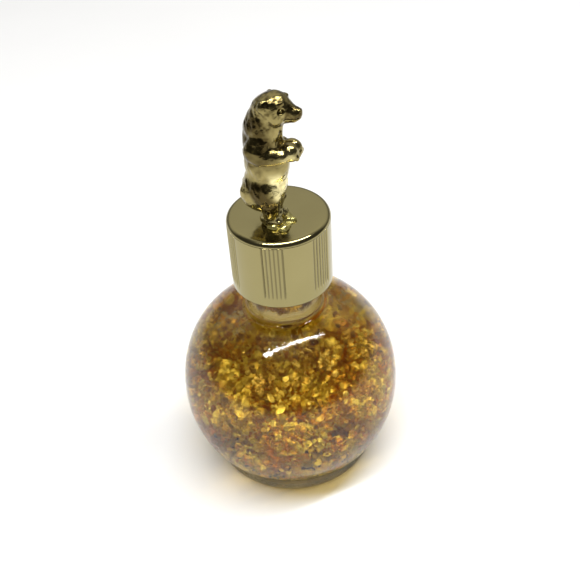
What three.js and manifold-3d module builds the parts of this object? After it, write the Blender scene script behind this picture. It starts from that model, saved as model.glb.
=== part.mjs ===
// Souvenir gold sample vial: a globe-shaped glass bottle filled with liquid and flakes of gold
// leaf, closed by a plug stopper and a gold-plated screw cap that carries a small standing bear.
// Millimetres, +Z up. The origin is the centre of the foot ring, on the surface the vial stands on.
// The bear looks along +X, turned a little towards -Y.
import * as THREE from "three";
import { mergeVertices } from "three/addons/utils/BufferGeometryUtils.js";
import Module from "manifold-3d";

const wasm = await Module();
wasm.setup();

// --- Driving dimensions ---------------------------------------------------------------------
const GLOBE_RADIUS = 17.25;
const GLOBE_CENTRE_Z = 13.8;
const SHOULDER_POWER = 2.18; // superellipse power of the upper half, a little fuller than a sphere
const GLASS_WALL = 1.4;
const BASE_THICKNESS = 3.2;

const FOOT_RADIUS = 13.2;
const FOOT_EDGE_RADIUS = 1.1;
const GROOVE_RADIUS = 12.85; // waist between the foot and the globe
const GROOVE_Z = 2.25;
const PUNT_RADIUS = 9.4; // shallow hollow under the foot, so the vial stands on a ring
const PUNT_DEPTH = 0.7;

const NECK_RADIUS = 5.75; // 13 mm screw finish, 12 threads per inch
const NECK_FILLET = 1.1;
const NECK_JOIN_ANGLE = 0.375 * Math.PI; // where the neck's fillet leaves the globe
const BORE_RADIUS = 4.1;
const LIP_Z = 42.7;
const LIP_ROUND = 0.5;
const THREAD_PITCH = 25.4 / 12;
const NECK_THREAD_CREST = 6.5;
const NECK_THREAD_TURNS = 1.5;
const NECK_THREAD_START_Z = 37.6;

const CAP_RADIUS = 7.5;
const CAP_BOTTOM_Z = 35;
const CAP_TOP_Z = 46.5;
const CAP_TOP_WALL = 1.1;
const CAP_INNER_RADIUS = 6.8;
const CAP_RIM_ROUND = 0.7;
const CAP_LIP_ROUND = 0.25;
const CAP_THREAD_CREST = 6.1;
const CAP_THREAD_TURNS = 1.25;

const PANEL_COUNT = 6; // grip panels round the skirt
const PANEL_FIRST = THREE.MathUtils.degToRad(-100);
const PANEL_ANGLE = THREE.MathUtils.degToRad(26);
const PANEL_RIBS = 5;
const PANEL_DEPTH = 0.26;
const RIB_HEIGHT = 0.2;
const PANEL_BOTTOM_Z = 35.9;
const PANEL_TOP_Z = 45.7;

const FIT_GAP = 0.3; // clearance kept between pieces that touch on the bench
const STOPPER_FLANGE_RADIUS = 5.6;
const STOPPER_FLANGE = 0.9;
const STOPPER_PLUG_LENGTH = 5.2;
const STOPPER_RING_HEIGHT = 0.25;
const LINER_RADIUS = 6.3;
const LINER_THICKNESS = 0.9;

const GLUE_THICKNESS = 0.2;
const GLUE_RADIUS = 2.4;
const PEG_RADIUS = 0.8;
const BEAR_PLACE = [0, -1.8]; // of the peg on the cap, nearer its front than its middle
const BEAR_YAW = THREE.MathUtils.degToRad(-20);
const BEAR_HEIGHT = 20.0;

const LIQUID_GAP = 2.4; // room left between the glass and the liquid's plain core, for the flakes
const WALL_FLAKES = 33;
const FLOOR_RING_FLAKES = 6;
const FLAKE_THICKNESS = 0.25;
const FLAKE_RADIUS = 2.0;
const FLAKE_CORNERS = 7;
const GOLDEN_ANGLE = Math.PI * (3 - Math.sqrt(5));

const ROUND_SIDES = 40;
const BALL_SIDES = 12; // of the bear's rounded forms
const BALL_RINGS = 8;

// --- Materials --------------------------------------------------------------------------------
const MATERIALS = {
  glass: new THREE.MeshStandardMaterial({
    color: 0xe8ecea, roughness: 0.03, metalness: 0, transparent: true, opacity: 0.35,
  }),
  liquid: new THREE.MeshStandardMaterial({
    color: 0xd8b060, roughness: 0.02, metalness: 0, transparent: true, opacity: 0.5,
  }),
  goldLeaf: new THREE.MeshStandardMaterial({ color: 0xe0a92c, roughness: 0.3, metalness: 1 }),
  goldPlate: new THREE.MeshStandardMaterial({ color: 0xcdbb82, roughness: 0.12, metalness: 1 }),
  castGold: new THREE.MeshStandardMaterial({ color: 0xc9ae5e, roughness: 0.18, metalness: 1 }),
  stopper: new THREE.MeshStandardMaterial({ color: 0xe9e7de, roughness: 0.5, metalness: 0 }),
  liner: new THREE.MeshStandardMaterial({ color: 0xf2f0ea, roughness: 0.9, metalness: 0 }),
  glue: new THREE.MeshStandardMaterial({ color: 0xb9a565, roughness: 0.25, metalness: 0 }),
};

// --- Solids: three.js geometry in, manifold-3d joins and cuts, three.js geometry out --------------
function solid(geometry) {
  const plain = (geometry.index ? geometry.toNonIndexed() : geometry.clone());
  plain.deleteAttribute("normal");
  plain.deleteAttribute("uv");
  const merged = mergeVertices(plain, 1e-4);
  return new wasm.Manifold(
    new wasm.Mesh({
      numProp: 3,
      vertProperties: merged.attributes.position.array,
      triVerts: new Uint32Array(merged.index.array),
    }),
  );
}

function geometryOf(manifold) {
  const mesh = manifold.getMesh();
  const geometry = new THREE.BufferGeometry();
  geometry.setAttribute("position", new THREE.BufferAttribute(mesh.vertProperties, 3));
  geometry.setIndex(new THREE.BufferAttribute(mesh.triVerts, 1));
  geometry.computeVertexNormals();
  return geometry;
}

const joined = (solids) => solids.reduce((all, next) => all.add(next));

// A profile of [radius, z] points turned round +Z. It starts and ends on the axis, outside first.
function turned(points, sides = ROUND_SIDES) {
  const profile = points.map(([radius, z]) => new THREE.Vector2(radius, z));
  return new THREE.LatheGeometry(profile, sides).rotateX(Math.PI / 2);
}

// Points on an arc about (radius, z) from one angle to another, in degrees from the radial way.
function arc(radius, z, r, fromDeg, toDeg, steps) {
  return Array.from({ length: steps + 1 }, (_, i) => {
    const a = THREE.MathUtils.degToRad(fromDeg + ((toDeg - fromDeg) * i) / steps);
    return [radius + r * Math.cos(a), z + r * Math.sin(a)];
  });
}

// A disc or plug with square edges.
const disc = (radius, low, high, sides = ROUND_SIDES) =>
  turned([[0, low], [radius, low], [radius, high], [0, high]], sides);

// --- Globe profile -------------------------------------------------------------------------------
// [radius, z] on the globe at an angle above its widest circle, inset from the outer face.
function globePoint(angle, inset = 0) {
  const size = GLOBE_RADIUS - inset;
  if (angle <= 0) return [size * Math.cos(angle), GLOBE_CENTRE_Z + size * Math.sin(angle)];
  const power = 2 / SHOULDER_POWER;
  return [size * Math.cos(angle) ** power, GLOBE_CENTRE_Z + size * Math.sin(angle) ** power];
}

function globeArc(fromAngle, toAngle, steps, inset) {
  return Array.from({ length: steps + 1 }, (_, i) =>
    globePoint(fromAngle + ((toAngle - fromAngle) * i) / steps, inset),
  );
}

// The angle below the widest circle where the globe comes down to a radius.
const lowerAngleAt = (radius, inset = 0) => -Math.acos(radius / (GLOBE_RADIUS - inset));

// --- Threads ---------------------------------------------------------------------------------------
// One helical ridge: a trapezoid from the root radius to the crest radius, sunk a little into its
// wall so that the two join. It is right-handed and fades out at both ends.
function threadRidge({ root, crest, sink, startZ, startAngle, turns, rootWidth, crestWidth }) {
  const stepsPerTurn = 32;
  const fade = 0.12; // of a turn
  const steps = Math.round(turns * stepsPerTurn);
  const way = Math.sign(crest - root);
  const positions = [];
  for (let i = 0; i <= steps; i++) {
    const turn = (turns * i) / steps;
    const angle = startAngle + 2 * Math.PI * turn;
    const grow = Math.min(1, 0.15 + Math.min(turn, turns - turn) / fade);
    const top = root + (crest - root) * grow;
    const z = startZ + THREAD_PITCH * turn;
    const section = [
      [root - way * sink, z - rootWidth / 2],
      [top, z - crestWidth / 2],
      [top, z + crestWidth / 2],
      [root - way * sink, z + rootWidth / 2],
    ];
    for (const [radius, height] of section)
      positions.push(radius * Math.cos(angle), radius * Math.sin(angle), height);
  }
  const faces = [];
  const quad = (a, b, c, d) => faces.push(a, b, c, a, c, d);
  for (let i = 0; i < steps; i++)
    for (let k = 0; k < 4; k++) {
      const next = (k + 1) % 4;
      quad(4 * i + k, 4 * i + next, 4 * i + 4 + next, 4 * i + 4 + k);
    }
  quad(3, 2, 1, 0);
  const last = 4 * steps;
  quad(last, last + 1, last + 2, last + 3);
  if (way > 0) faces.reverse();
  const geometry = new THREE.BufferGeometry();
  geometry.setAttribute("position", new THREE.Float32BufferAttribute(positions, 3));
  geometry.setIndex(faces);
  return geometry;
}

// --- Bottle ------------------------------------------------------------------------------------------
function glassBottle() {
  const join = globePoint(NECK_JOIN_ANGLE);
  const filletTop = join[1] + NECK_FILLET;
  const neckFillet = new THREE.QuadraticBezierCurve(
    new THREE.Vector2(...join),
    new THREE.Vector2(NECK_RADIUS, join[1] + 0.1),
    new THREE.Vector2(NECK_RADIUS, filletTop),
  ).getPoints(4).slice(1).map((p) => [p.x, p.y]);
  const outside = [
    [0, PUNT_DEPTH],
    [PUNT_RADIUS * 0.6, PUNT_DEPTH * 0.8],
    [PUNT_RADIUS, 0],
    ...arc(FOOT_RADIUS - FOOT_EDGE_RADIUS, FOOT_EDGE_RADIUS, FOOT_EDGE_RADIUS, -90, 0, 4),
    [FOOT_RADIUS, FOOT_EDGE_RADIUS + 0.3],
    [GROOVE_RADIUS, GROOVE_Z],
    ...globeArc(lowerAngleAt(FOOT_RADIUS + 0.1), NECK_JOIN_ANGLE, 16, 0),
    ...neckFillet,
    [NECK_RADIUS, LIP_Z - LIP_ROUND],
    [NECK_RADIUS - LIP_ROUND, LIP_Z],
    [BORE_RADIUS + LIP_ROUND, LIP_Z],
    [BORE_RADIUS, LIP_Z - LIP_ROUND],
  ];
  const bottleneck = globePoint(NECK_JOIN_ANGLE, GLASS_WALL);
  const floorAngle = -Math.asin((GLOBE_CENTRE_Z - BASE_THICKNESS - 1) / (GLOBE_RADIUS - GLASS_WALL));
  const inside = [
    [BORE_RADIUS, bottleneck[1] + 1.2],
    ...globeArc(NECK_JOIN_ANGLE - 0.03, floorAngle, 14, GLASS_WALL),
    [globePoint(floorAngle, GLASS_WALL)[0] - 1.6, BASE_THICKNESS],
    [0, BASE_THICKNESS],
  ];
  const body = solid(turned([...outside, ...inside]));
  const thread = solid(
    threadRidge({
      root: NECK_RADIUS, crest: NECK_THREAD_CREST, sink: 0.3,
      startZ: NECK_THREAD_START_Z, startAngle: 0, turns: NECK_THREAD_TURNS,
      rootWidth: 1.0, crestWidth: 0.45,
    }),
  );
  return geometryOf(body.add(thread));
}

// --- Stopper and liner ---------------------------------------------------------------------------------
const FLANGE_LOW = LIP_Z + FIT_GAP;
const FLANGE_HIGH = FLANGE_LOW + STOPPER_FLANGE;

function stopper() {
  const plug = BORE_RADIUS - FIT_GAP - STOPPER_RING_HEIGHT;
  const ring = plug + STOPPER_RING_HEIGHT;
  const low = FLANGE_LOW - STOPPER_PLUG_LENGTH;
  const sealingRing = (z) => [[plug, z - 0.35], [ring, z], [plug, z + 0.35]];
  return turned([
    [0, low],
    [plug - 0.7, low],
    [plug, low + 0.9],
    ...sealingRing(low + 2),
    ...sealingRing(low + 3.4),
    [plug, FLANGE_LOW],
    [STOPPER_FLANGE_RADIUS, FLANGE_LOW],
    [STOPPER_FLANGE_RADIUS, FLANGE_HIGH],
    [0, FLANGE_HIGH],
  ]);
}

function liner() {
  const low = FLANGE_HIGH + FIT_GAP;
  return disc(LINER_RADIUS, low, low + LINER_THICKNESS);
}

// --- Cap ---------------------------------------------------------------------------------------------------
// The tool that sinks one grip panel into the skirt and leaves its ribs standing.
function panelCutter(middle) {
  const floor = CAP_RADIUS - PANEL_DEPTH;
  const outside = CAP_RADIUS + 0.5;
  const step = PANEL_ANGLE / PANEL_RIBS;
  const at = (radius, angle) => [radius * Math.cos(angle), radius * Math.sin(angle)];
  const start = middle - PANEL_ANGLE / 2;
  const outline = new THREE.Shape().moveTo(...at(outside, start));
  outline.lineTo(...at(floor, start));
  for (let i = 0; i < PANEL_RIBS; i++) {
    const left = start + step * i;
    outline.lineTo(...at(floor, left + step * 0.12));
    outline.lineTo(...at(floor + RIB_HEIGHT, left + step * 0.36));
    outline.lineTo(...at(floor + RIB_HEIGHT, left + step * 0.64));
    outline.lineTo(...at(floor, left + step * 0.88));
  }
  outline.lineTo(...at(floor, start + PANEL_ANGLE));
  outline.lineTo(...at(outside, start + PANEL_ANGLE));
  outline.closePath();
  const height = PANEL_TOP_Z - PANEL_BOTTOM_Z;
  return new THREE.ExtrudeGeometry(outline, { depth: height, bevelEnabled: false })
    .translate(0, 0, PANEL_BOTTOM_Z);
}

function capShell() {
  const innerTop = CAP_TOP_Z - CAP_TOP_WALL;
  const shell = solid(
    turned([
      [0, innerTop],
      [CAP_INNER_RADIUS - 0.4, innerTop],
      [CAP_INNER_RADIUS, innerTop - 0.4],
      [CAP_INNER_RADIUS, CAP_BOTTOM_Z + CAP_LIP_ROUND],
      [CAP_INNER_RADIUS + CAP_LIP_ROUND, CAP_BOTTOM_Z],
      [CAP_RADIUS - CAP_LIP_ROUND, CAP_BOTTOM_Z],
      [CAP_RADIUS, CAP_BOTTOM_Z + CAP_LIP_ROUND],
      ...arc(CAP_RADIUS - CAP_RIM_ROUND, CAP_TOP_Z - CAP_RIM_ROUND, CAP_RIM_ROUND, 0, 90, 4),
      [0, CAP_TOP_Z],
    ]),
  );
  const thread = solid(
    threadRidge({
      root: CAP_INNER_RADIUS, crest: CAP_THREAD_CREST, sink: 0.3,
      startZ: NECK_THREAD_START_Z - THREAD_PITCH / 2, startAngle: 0, turns: CAP_THREAD_TURNS,
      rootWidth: 0.85, crestWidth: 0.4,
    }),
  );
  const panels = Array.from({ length: PANEL_COUNT }, (_, i) =>
    solid(panelCutter(PANEL_FIRST + (2 * Math.PI * i) / PANEL_COUNT)),
  );
  const pegHole = solid(
    disc(PEG_RADIUS + FIT_GAP, innerTop - 1, CAP_TOP_Z + 1, 16).translate(...BEAR_PLACE, 0),
  );
  return geometryOf(joined([shell, thread]).subtract(joined(panels)).subtract(pegHole));
}

// --- Bear ------------------------------------------------------------------------------------------------
// Its own frame: feet on z = 0, looking along +X, its left side towards +Y.
function ellipsoid([x, y, z], [rx, ry, rz], leanDeg = 0) {
  return solid(
    new THREE.SphereGeometry(1, BALL_SIDES, BALL_RINGS)
      .scale(rx, ry, rz)
      .rotateY(THREE.MathUtils.degToRad(leanDeg))
      .translate(x, y, z),
  );
}

// A limb with round ends that tapers from one ball to the next.
function limb(from, fromRadius, to, toRadius) {
  const start = new THREE.Vector3(...from);
  const way = new THREE.Vector3(...to).sub(start);
  const length = way.length();
  const profile = [
    ...arc(0, 0, fromRadius, -90, 0, 2),
    ...arc(0, length, toRadius, 0, 90, 2),
  ].map(([radius, along]) => new THREE.Vector2(Math.max(radius, 0), along));
  profile[0].x = 0;
  profile[profile.length - 1].x = 0;
  const turn = new THREE.Quaternion().setFromUnitVectors(
    new THREE.Vector3(0, 1, 0), way.normalize(),
  );
  return solid(
    new THREE.LatheGeometry(profile, BALL_SIDES - 2).applyQuaternion(turn).translate(start.x, start.y, start.z),
  );
}

function bear() {
  const body = [
    ellipsoid([-1.75, 0, 5.5], [3.2, 2.4, 2.85]), // hips
    ellipsoid([-1.05, 0, 9.2], [3.2, 2.55, 4.1]), // belly
    ellipsoid([-1.35, 0, 12.4], [2.8, 2.25, 3.7]), // chest
    limb([-1.3, 0, 14.8], 2.45, [-0.6, 0, 17.3], 1.95), // neck
    ellipsoid([0.55, 0, 17.75], [2.4, 2.15, 2.15]), // skull
    ellipsoid([-4.6, 0, 5.8], [0.6, 0.5, 0.7]), // tail
  ];
  const head = [
    limb([1.9, 0, 17.3], 1.45, [3.25, 0, 17.05], 1.08), // muzzle
    limb([1.6, 0, 16.4], 1.05, [2.95, 0, 16.35], 0.75), // jaw
  ];
  const sides = [-1, 1].flatMap((side) => [
    ellipsoid([-0.55, side * 1.5, 18.3], [0.6, 0.8, 0.95], 10), // ear
    limb([-1.0, side * 0.45, 15.6], 1.25, [-1.6, side * 1.55, 11.9], 2.0), // upper arm
    limb([-1.1, side * 2.0, 11.3], 1.5, [1.6, side * 1.2, 11.3], 1.2), // forearm
    ellipsoid([2.5, side * 0.65, 11.45], [1.5, 1.25, 1.4]), // paw
    ellipsoid([-2.45, side * 1.25, 4.6], [2.55, 1.45, 2.7], -8), // haunch
    ellipsoid([-0.9, side * 1.55, 5.2], [2.2, 1.45, 2.4], 8), // knee
    limb([-0.55, side * 1.1, 3.2], 1.4, [-0.7, side * 1.05, 0.9], 1.05), // shin
    ellipsoid([-0.6, side * 1.15, 0.55], [1.75, 1.0, 0.85]), // foot
  ]);
  const below = solid(new THREE.BoxGeometry(20, 20, 4).translate(0, 0, -2));
  const above = solid(new THREE.BoxGeometry(20, 20, 4).translate(0, 0, BEAR_HEIGHT + 2));
  const figure = joined([...body, ...head, ...sides]).subtract(below).subtract(above);
  const pegDepth = GLUE_THICKNESS + CAP_TOP_WALL;
  const peg = solid(disc(PEG_RADIUS, -pegDepth, 1, 16));
  const boss = solid(disc(PEG_RADIUS + 0.5, 0, 4, 16)); // boss that carries the peg
  return geometryOf(joined([figure, boss, peg]));
}

// Dried glue under the feet, round the peg.
function gluePad() {
  const pad = solid(disc(GLUE_RADIUS, 0, GLUE_THICKNESS, 24));
  const hole = solid(disc(PEG_RADIUS + FIT_GAP, -1, 1, 16));
  return geometryOf(pad.subtract(hole));
}

// --- Liquid and gold leaf ------------------------------------------------------------------------------------
const CONTENTS_TOP = 0.40 * Math.PI;

function liquidFill() {
  const inset = GLASS_WALL + LIQUID_GAP;
  const floor = BASE_THICKNESS + LIQUID_GAP;
  const floorAngle = -Math.asin((GLOBE_CENTRE_Z - floor - 1) / (GLOBE_RADIUS - inset));
  const round = globeArc(floorAngle, CONTENTS_TOP, 12, inset);
  const top = round[round.length - 1];
  const neck = BORE_RADIUS - FIT_GAP;
  const surface = FLANGE_LOW - STOPPER_PLUG_LENGTH - FIT_GAP;
  return turned([
    [0, floor],
    [round[0][0] - 1.2, floor],
    ...round,
    [neck, top[1] + 0.5],
    [neck, surface],
    [0, surface],
  ], 32);
}

// One flake: a thin plate with a ragged outline. seed makes each one different.
function flake(seed) {
  const outline = new THREE.Shape();
  for (let k = 0; k < FLAKE_CORNERS; k++) {
    const angle = (2 * Math.PI * k) / FLAKE_CORNERS;
    const ragged = 0.78 + 0.22 * Math.sin(3.7 * seed + 2.3 * k * (1 + (seed % 3)));
    const point = [FLAKE_RADIUS * ragged * Math.cos(angle), FLAKE_RADIUS * ragged * Math.sin(angle)];
    if (k === 0) outline.moveTo(...point);
    else outline.lineTo(...point);
  }
  outline.closePath();
  return new THREE.ExtrudeGeometry(outline, { depth: FLAKE_THICKNESS, bevelEnabled: false })
    .translate(0, 0, -FLAKE_THICKNESS / 2);
}

// The place and way of a flake: against the globe's wall, or lying on its floor.
function wallFlakePose(index) {
  const share = (index + 0.5) / WALL_FLAKES;
  const lowest = -0.58;
  const highest = 0.8;
  const angle = Math.asin(lowest + (highest - lowest) * share);
  const turn = index * GOLDEN_ANGLE;
  const [radius, z] = globePoint(angle, GLASS_WALL + LIQUID_GAP / 2);
  const place = new THREE.Vector3(radius * Math.cos(turn), radius * Math.sin(turn), z);
  const outwards = place.clone().setZ(z - GLOBE_CENTRE_Z).normalize();
  const tilt = new THREE.Vector3(Math.sin(5 * index), Math.sin(7 * index), Math.cos(4 * index));
  return { place, facing: outwards.addScaledVector(tilt, 0.12).normalize() };
}

function floorFlakePose(index) {
  const ring = index < FLOOR_RING_FLAKES ? 6.2 : 0;
  const turn = (2 * Math.PI * index) / FLOOR_RING_FLAKES;
  const z = BASE_THICKNESS + LIQUID_GAP / 2;
  const place = new THREE.Vector3(ring * Math.cos(turn), ring * Math.sin(turn), z);
  return { place, facing: new THREE.Vector3(0.08 * Math.sin(3 * index), 0.08, 1).normalize() };
}

// --- Assembly --------------------------------------------------------------------------------------------------
const vial = new THREE.Group();

function add(name, geometry, material, parent = vial) {
  const mesh = new THREE.Mesh(geometry, material);
  mesh.name = name;
  parent.add(mesh);
  return mesh;
}

add("glass_bottle", glassBottle(), MATERIALS.glass);
add("liquid_fill", liquidFill(), MATERIALS.liquid);
add("stopper_plug", stopper(), MATERIALS.stopper);
add("cap_liner", liner(), MATERIALS.liner);
add("cap_shell", capShell(), MATERIALS.goldPlate);

const figure = new THREE.Group();
figure.position.set(...BEAR_PLACE, CAP_TOP_Z);
figure.rotation.z = BEAR_YAW;
vial.add(figure);
add("glue_pad", gluePad(), MATERIALS.glue, figure);
add("bear_figure", bear(), MATERIALS.castGold, figure).position.z = GLUE_THICKNESS;

const flakePoses = [
  ...Array.from({ length: WALL_FLAKES }, (_, i) => wallFlakePose(i)),
  ...Array.from({ length: FLOOR_RING_FLAKES + 1 }, (_, i) => floorFlakePose(i)),
];
flakePoses.forEach(({ place, facing }, i) => {
  const name = `gold_leaf_${String(i + 1).padStart(2, "0")}`;
  const mesh = add(name, flake(i + 1), MATERIALS.goldLeaf);
  mesh.position.copy(place);
  mesh.quaternion.setFromUnitVectors(new THREE.Vector3(0, 0, 1), facing);
});

export default vial;
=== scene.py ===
"""Looks of the gold sample vial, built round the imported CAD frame.

A clear glass globe full of liquid and crumpled gold leaf, closed by a gold metallised screw cap
with ribbed grip panels, and a gold cast bear standing on the cap. The frame gives every place;
lengths in this script are millimetres until MM turns them into Blender's metres.
"""

import math

import bpy
import numpy as np
from mathutils import Matrix, Vector


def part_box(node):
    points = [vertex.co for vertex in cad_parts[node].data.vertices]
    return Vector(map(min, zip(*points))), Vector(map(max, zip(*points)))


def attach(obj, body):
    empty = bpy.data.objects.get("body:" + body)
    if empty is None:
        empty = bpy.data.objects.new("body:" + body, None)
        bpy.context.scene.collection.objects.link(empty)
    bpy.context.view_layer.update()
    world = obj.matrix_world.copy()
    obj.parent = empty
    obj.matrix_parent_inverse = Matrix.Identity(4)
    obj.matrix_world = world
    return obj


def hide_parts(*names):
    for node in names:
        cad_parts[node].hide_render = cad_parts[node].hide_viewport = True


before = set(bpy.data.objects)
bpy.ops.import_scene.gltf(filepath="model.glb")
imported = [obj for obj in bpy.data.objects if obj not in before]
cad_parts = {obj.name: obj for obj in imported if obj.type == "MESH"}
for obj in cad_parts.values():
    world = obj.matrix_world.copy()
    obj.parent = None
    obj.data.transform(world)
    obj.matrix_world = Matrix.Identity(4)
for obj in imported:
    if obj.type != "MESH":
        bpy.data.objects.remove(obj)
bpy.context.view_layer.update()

MM = 0.001
SEED = 11


def corners(node):
    """The lowest and highest corner of a CAD node, in millimetres."""
    low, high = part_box(node)
    return np.array(low) / MM, np.array(high) / MM


_, glass_high = corners("glass_bottle")
_, liquid_high = corners("liquid_fill")
cap_low, cap_high = corners("cap_shell")
liner_low, liner_high = corners("cap_liner")
stopper_low, stopper_high = corners("stopper_plug")
glue_low, glue_high = corners("glue_pad")

# --- Sizes of the glass and the liquid ------------------------------------------------------------
GLOBE_RADIUS = glass_high[0]
GLOBE_CENTRE_Z = 0.8 * GLOBE_RADIUS
SHOULDER_POWER = 2.18  # 2 would be a ball, and more fills the shoulders out
GLASS_WALL = 1.4
BASE_THICKNESS = 3.2
FOOT_RADIUS = 13.2
FOOT_EDGE_RADIUS = 1.1
GROOVE_RADIUS = 12.85
GROOVE_Z = 2.25
PUNT_RADIUS = 9.4
PUNT_DEPTH = 0.7
NECK_RADIUS = 5.75
NECK_FILLET = 1.1
NECK_JOIN_ANGLE = 0.375 * math.pi
BORE_RADIUS = 4.1
LIP_Z = glass_high[2]
LIP_ROUND = 0.5
HEEL_RISE = 1.2  # the rounded corner between the inner wall and the glass's floor
HEEL_RUN = 3.2
NECK_BLEND = 1.6  # the height of the curve from the inner shoulder into the bore
WETTED = 0.03  # how far the liquid is drawn into the glass, so that no air shows between them
MENISCUS_DEPTH = 0.4
GLASS_IOR = 1.38  # real glass has 1.5, which shows far more of the white floor than the photograph
GLASS_DENSITY = 380.0  # absorption for each metre of the way
LIQUID_IOR = 1.33
LIQUID_DENSITY = 50.0

THREAD_PITCH = 25.4 / 12
NECK_THREAD_CREST = 6.5
NECK_THREAD_TURNS = 1.5
NECK_THREAD_START_Z = 37.6
NECK_THREAD_WIDTHS = (1.0, 0.45)  # at the root and at the crest

# --- Sizes of the gold leaf -----------------------------------------------------------------------
LEAF_COUNT = 10000
LEAF_KINDS = 24  # different crumpled shapes
LEAF_SPOKES = 7
LEAF_SKIN = 0.03  # the scraps' thickness
LEAF_SMALLEST = 0.32
LEAF_SIZE_SPREAD = 0.75
LEAF_LOW_Z = BASE_THICKNESS + 0.7
LEAF_HIGH_Z = GLOBE_CENTRE_Z + 14.2
LEAF_CLOUD_TOP_Z = GLOBE_CENTRE_Z + 9
LEAF_FADE = 14  # the height over which the clouds thin out below their top
LEAF_CLEARANCE = 0.75  # from the glass
SETTLED_DEPTH = 0.8  # of the leaf that has sunk to the floor
CLOUD_SIZE = 5.5
WISP_SIZE = 2.2
CLOUD_EDGE = 0.44  # the noise value where a cloud begins
CLOUD_SHARPNESS = 8
CLUMP_LEAVES = 24
# the leaf's colour carries painted light: brightest low in the globe, darkest high up
LEAF_LIGHT_FULL_Z = 9  # below this the leaf is at its brightest
LEAF_LIGHT_GONE_Z = 21  # above this it is at its darkest

# --- Sizes of the cap, the liner and the stopper --------------------------------------------------
CAP_RADIUS = cap_high[0]
CAP_BOTTOM_Z = cap_low[2]
CAP_TOP_Z = cap_high[2]
CAP_INNER_RADIUS = 6.8
CAP_INNER_TOP_Z = CAP_TOP_Z - 1.1
CAP_RIM_ROUND = 0.8
CAP_THREAD_CREST = 6.1
CAP_THREAD_TURNS = 1.25
CAP_THREAD_WIDTHS = (0.85, 0.4)
CAP_EDGE_ROUND = 0.25
CAP_SIDES = 720
PANEL_COUNT = 6
PANEL_FIRST = math.radians(-100)
PANEL_ANGLE = math.radians(26)
PANEL_BOTTOM_Z = CAP_BOTTOM_Z + 0.9
PANEL_TOP_Z = CAP_TOP_Z - 0.8
PANEL_BOTTOM_RAMP = 1.2
PANEL_TOP_RAMP = 0.15
PANEL_SIDE_RAMP = math.radians(0.9)
PANEL_DEPTH = 0.16
RIB_HEIGHT = 0.13
RIB_COUNT = 5
RIB_ANGLE = math.radians(4.5)
RIB_START = 0.12  # above the panel's bottom
RIB_RAMP = 0.3
# painted shade in the grip grooves
GROOVE_SHADE = 0.75  # how far the grooves' bottoms darken, from 0 to 1
FLANGE_THICKNESS = 0.9
FLANGE_ROUND = 0.2
PLUG_RADIUS = BORE_RADIUS - 0.55
PLUG_RINGS = (2.0, 3.4)  # heights of the sealing rings above the plug's end

# --- Sizes of the bear and the glue ---------------------------------------------------------------
BEAR_YAW = math.radians(-20)
FIGURE_PLACE = (0.0, -1.8)  # where the bear's peg stands on the cap
PEG_RADIUS = 0.8
PEG_GAP = 0.3
PEG_LENGTH = 1.3
GRID_STEP = 0.11  # of the bear's distance field
GRID_LOW = np.array([-6.2, -5.0, -1.7])
GRID_HIGH = np.array([6.0, 5.0, 20.8])
GLUE_STEP = 0.08
GLUE_REACH = 3.6
GLUE_HEIGHT = 1.4
GLUE_LUMPS = 22
GLUE_RUN = 0.6  # how far the glue has run towards the front

# --- Light and view -------------------------------------------------------------------------------
# A wall's brightness is given at the sine of each height above the horizon.
FRONT_WALL = ((0.0, 0.35), (0.08, 0.12), (0.3, 0.06), (0.85, 0.1), (1.0, 0.6))
BACK_WALL = ((0.0, 0.3), (0.25, 0.25), (0.5, 0.72), (0.75, 0.86), (1.0, 0.6))
WALL_MEETING = (0.1, 0.6)  # towards +Y, where the front wall ends and the back wall begins
WARM_WHITE = (1.0, 0.985, 0.94)
FLOOR_REACH = 1500
TUBE_PLACE = (56, -78, 600)
TUBE_AIM = (56, -78, 0)
TUBE_SIZE = (680, 26)
TUBE_POWER = 4.9
TUBE_TURN = math.radians(22.3)
VIEW_ELEVATION = math.radians(40.3)
VIEW_ROLL = math.radians(-4.1)
VIEW_DISTANCE = 8 * GLOBE_RADIUS
VIEW_AIM = (0.91, 0.0, 32.03)
VIEW_LENS = 56.4
VIEW_SENSOR = 36


# --- Mesh tools -----------------------------------------------------------------------------------
def make_piece(name, shape, material, body=None, replaced=()):
    """A mesh object from (points in millimetres, faces), which rides on a body if one is given."""
    points, faces = shape
    mesh = bpy.data.meshes.new(name)
    mesh.from_pydata((np.asarray(points, float) * MM).tolist(), [], faces)
    mesh.validate()
    mesh.update()
    mesh.polygons.foreach_set("use_smooth", [True] * len(mesh.polygons))
    mesh.materials.append(material)
    piece = bpy.data.objects.new(name, mesh)
    bpy.context.scene.collection.objects.link(piece)
    if body:
        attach(piece, body)
    if replaced:
        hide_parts(*replaced)
    return piece


def give_layer(piece, name, amounts):
    """A value from 0 to 1 at each point of a piece, for its material to read."""
    layer = piece.data.color_attributes.new(name, "FLOAT_COLOR", "POINT")
    colours = np.ones((len(amounts), 4))
    colours[:, :3] = np.asarray(amounts)[:, None]
    layer.data.foreach_set("color", colours.ravel())


def turned(profile, sides=192, radius_at=None):
    """Points and faces of a solid turned round Z from [radius, z] points, given outside first."""
    angles = np.arange(sides) * 2 * math.pi / sides
    points, rings = [], []
    for radius, z in profile:
        if radius < 1e-6:
            rings.append([len(points)] * sides)
            points.append((0.0, 0.0, z))
            continue
        rings.append(list(range(len(points), len(points) + sides)))
        for a in angles:
            r = radius_at(radius, z, a) if radius_at else radius
            points.append((r * math.cos(a), r * math.sin(a), z))
    faces = []
    for lower, upper in zip(rings, rings[1:]):
        for i in range(sides):
            k = (i + 1) % sides
            corner = [lower[i], lower[k], upper[k], upper[i]]
            faces.append(list(dict.fromkeys(corner)))
    return points, [f for f in faces if len(f) > 2]


def arc(radius, z, r, start, end, steps):
    """Points on a round edge, from one angle to another in degrees."""
    spread = np.radians(np.linspace(start, end, steps + 1))
    return [(radius + r * math.cos(a), z + r * math.sin(a)) for a in spread]


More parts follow.
